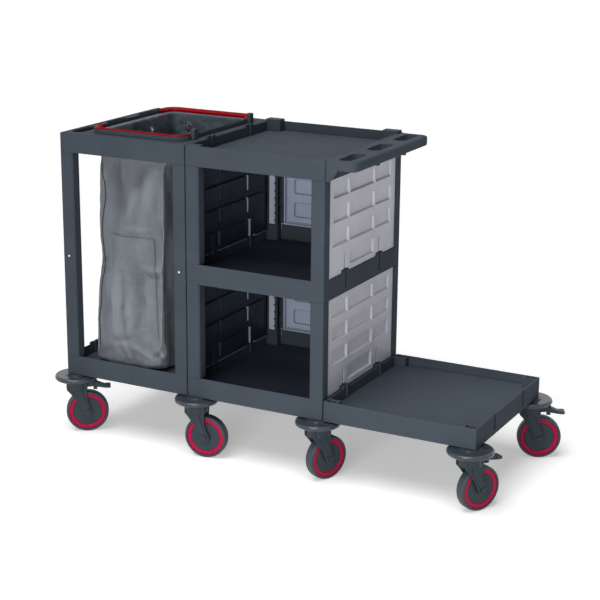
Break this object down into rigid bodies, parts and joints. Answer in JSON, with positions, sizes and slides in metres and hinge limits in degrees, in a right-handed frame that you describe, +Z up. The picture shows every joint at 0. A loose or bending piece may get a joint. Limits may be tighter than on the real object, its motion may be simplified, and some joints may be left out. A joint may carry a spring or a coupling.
{
  "type": "service cart",
  "caption": "Long modular service cart with a hung laundry bag under hinged clamps, open shelves with end panels, a push handle and a low platform on braked swivel casters.",
  "frame": {"origin": "on the floor under the middle of the cart's footprint", "axes": "+X along the cart from the bag end to the platform end, +Z up, open shelf front towards -Y"},
  "size_m": [1.4646, 0.5898, 0.9484],
  "materials": {
    "frame_plastic": "fine satin moulding",
    "dark_panel": "semi-gloss moulding",
    "light_panel": "satin moulding",
    "rear_panel": "satin moulding",
    "bag_fabric": "coated woven cloth",
    "red_plastic": "glossy moulding",
    "steel": "zinc plated",
    "bumper": "soft matte",
    "caster_plastic": "satin moulding",
    "red_wheel": "satin moulding",
    "tyre": "smooth rubber"
  },
  "bodies": {
    "frame": {"base_tray_left": "frame_plastic", "base_tray_middle": "frame_plastic", "base_tray_right": "frame_plastic", "middle_tray": "frame_plastic", "top_tray": "frame_plastic", "bag_top_frame": "frame_plastic", "push_handle": "frame_plastic", "post_bag_front_left": "frame_plastic", "post_bag_front_right": "frame_plastic", "post_bag_rear_left": "frame_plastic", "post_bag_rear_right": "frame_plastic", "post_shelf_front_left": "frame_plastic", "post_shelf_front_right": "frame_plastic", "post_shelf_rear_left": "frame_plastic", "post_shelf_rear_right": "frame_plastic", "side_panel_left_lower": "dark_panel", "side_panel_right_lower": "light_panel", "rear_panel_lower": "rear_panel", "side_panel_left_upper": "dark_panel", "side_panel_right_upper": "light_panel", "rear_panel_upper": "rear_panel", "bag_collar": "frame_plastic", "clamp_pins": "steel", "laundry_bag": "bag_fabric", "bag_eyelets": "steel", "frame_screws": "steel", "module_keys": "frame_plastic", "caster_stems": "steel", "caster_bumpers": "bumper"},
    "fork_front_1": {"caster_fork_front_1": "caster_plastic"},
    "wheel_front_1": {"wheel_core_front_1": "red_wheel", "tyre_front_1": "tyre"},
    "pedal_front_1": {"brake_pedal_front_1": "caster_plastic"},
    "fork_front_2": {"caster_fork_front_2": "caster_plastic"},
    "wheel_front_2": {"wheel_core_front_2": "red_wheel", "tyre_front_2": "tyre"},
    "fork_front_3": {"caster_fork_front_3": "caster_plastic"},
    "wheel_front_3": {"wheel_core_front_3": "red_wheel", "tyre_front_3": "tyre"},
    "fork_front_4": {"caster_fork_front_4": "caster_plastic"},
    "wheel_front_4": {"wheel_core_front_4": "red_wheel", "tyre_front_4": "tyre"},
    "pedal_front_4": {"brake_pedal_front_4": "caster_plastic"},
    "fork_rear_1": {"caster_fork_rear_1": "caster_plastic"},
    "wheel_rear_1": {"wheel_core_rear_1": "red_wheel", "tyre_rear_1": "tyre"},
    "pedal_rear_1": {"brake_pedal_rear_1": "caster_plastic"},
    "fork_rear_2": {"caster_fork_rear_2": "caster_plastic"},
    "wheel_rear_2": {"wheel_core_rear_2": "red_wheel", "tyre_rear_2": "tyre"},
    "fork_rear_3": {"caster_fork_rear_3": "caster_plastic"},
    "wheel_rear_3": {"wheel_core_rear_3": "red_wheel", "tyre_rear_3": "tyre"},
    "fork_rear_4": {"caster_fork_rear_4": "caster_plastic"},
    "wheel_rear_4": {"wheel_core_rear_4": "red_wheel", "tyre_rear_4": "tyre"},
    "pedal_rear_4": {"brake_pedal_rear_4": "caster_plastic"},
    "clamp_front": {"bag_clamp_front": "red_plastic"},
    "clamp_rear": {"bag_clamp_rear": "red_plastic"}
  },
  "joints": [
    {"name": "swivel_front_1", "type": "hinge", "parent": "frame", "child": "fork_front_1", "pos_m": [-0.63876, -0.2305, 0.15025], "axis": [0, 0, 1], "continuous": true},
    {"name": "roll_front_1", "type": "hinge", "parent": "fork_front_1", "child": "wheel_front_1", "pos_m": [-0.61449, -0.21287, 0.0635], "axis": [-0.5878, 0.809, 0], "continuous": true},
    {"name": "brake_front_1", "type": "hinge", "parent": "fork_front_1", "child": "pedal_front_1", "pos_m": [-0.60559, -0.2064, 0.15025], "axis": [-0.5878, 0.809, 0], "range_deg": [0, 12]},
    {"name": "swivel_front_2", "type": "hinge", "parent": "frame", "child": "fork_front_2", "pos_m": [-0.21476, -0.2305, 0.15025], "axis": [0, 0, 1], "continuous": true},
    {"name": "roll_front_2", "type": "hinge", "parent": "fork_front_2", "child": "wheel_front_2", "pos_m": [-0.18521, -0.22529, 0.0635], "axis": [-0.1736, 0.9848, 0], "continuous": true},
    {"name": "swivel_front_3", "type": "hinge", "parent": "frame", "child": "fork_front_3", "pos_m": [0.18024, -0.2305, 0.15025], "axis": [0, 0, 1], "continuous": true},
    {"name": "roll_front_3", "type": "hinge", "parent": "fork_front_3", "child": "wheel_front_3", "pos_m": [0.19292, -0.20331, 0.0635], "axis": [-0.9063, 0.4226, 0], "continuous": true},
    {"name": "swivel_front_4", "type": "hinge", "parent": "frame", "child": "fork_front_4", "pos_m": [0.63624, -0.2305, 0.15025], "axis": [0, 0, 1], "continuous": true},
    {"name": "roll_front_4", "type": "hinge", "parent": "fork_front_4", "child": "wheel_front_4", "pos_m": [0.65124, -0.20452, 0.0635], "axis": [-0.866, 0.5, 0], "continuous": true},
    {"name": "brake_front_4", "type": "hinge", "parent": "fork_front_4", "child": "pedal_front_4", "pos_m": [0.65674, -0.19499, 0.15025], "axis": [-0.866, 0.5, 0], "range_deg": [0, 12]},
    {"name": "swivel_rear_1", "type": "hinge", "parent": "frame", "child": "fork_rear_1", "pos_m": [-0.63876, 0.2305, 0.15025], "axis": [0, 0, 1], "continuous": true},
    {"name": "roll_rear_1", "type": "hinge", "parent": "fork_rear_1", "child": "wheel_rear_1", "pos_m": [-0.66474, 0.2455, 0.0635], "axis": [-0.5, -0.866, 0], "continuous": true},
    {"name": "brake_rear_1", "type": "hinge", "parent": "fork_rear_1", "child": "pedal_rear_1", "pos_m": [-0.67427, 0.251, 0.15025], "axis": [-0.5, -0.866, 0], "range_deg": [0, 12]},
    {"name": "swivel_rear_2", "type": "hinge", "parent": "frame", "child": "fork_rear_2", "pos_m": [-0.21476, 0.2305, 0.15025], "axis": [0, 0, 1], "continuous": true},
    {"name": "roll_rear_2", "type": "hinge", "parent": "fork_rear_2", "child": "wheel_rear_2", "pos_m": [-0.24295, 0.22024, 0.0635], "axis": [0.342, -0.9397, 0], "continuous": true},
    {"name": "swivel_rear_3", "type": "hinge", "parent": "frame", "child": "fork_rear_3", "pos_m": [0.18024, 0.2305, 0.15025], "axis": [0, 0, 1], "continuous": true},
    {"name": "roll_rear_3", "type": "hinge", "parent": "fork_rear_3", "child": "wheel_rear_3", "pos_m": [0.20743, 0.21782, 0.0635], "axis": [0.4226, 0.9063, 0], "continuous": true},
    {"name": "swivel_rear_4", "type": "hinge", "parent": "frame", "child": "fork_rear_4", "pos_m": [0.63624, 0.2305, 0.15025], "axis": [0, 0, 1], "continuous": true},
    {"name": "roll_rear_4", "type": "hinge", "parent": "fork_rear_4", "child": "wheel_rear_4", "pos_m": [0.6632, 0.24365, 0.0635], "axis": [-0.4384, 0.8988, 0], "continuous": true},
    {"name": "brake_rear_4", "type": "hinge", "parent": "fork_rear_4", "child": "pedal_rear_4", "pos_m": [0.67309, 0.24847, 0.15025], "axis": [-0.4384, 0.8988, 0], "range_deg": [0, 12]},
    {"name": "clamp_front_hinge", "type": "hinge", "parent": "frame", "child": "clamp_front", "pos_m": [-0.41976, -0.1585, 0.9294], "axis": [-1, 0, 0], "range_deg": [0, 100]},
    {"name": "clamp_rear_hinge", "type": "hinge", "parent": "frame", "child": "clamp_rear", "pos_m": [-0.41976, 0.1585, 0.9294], "axis": [1, 0, 0], "range_deg": [0, 100]}
  ]
}
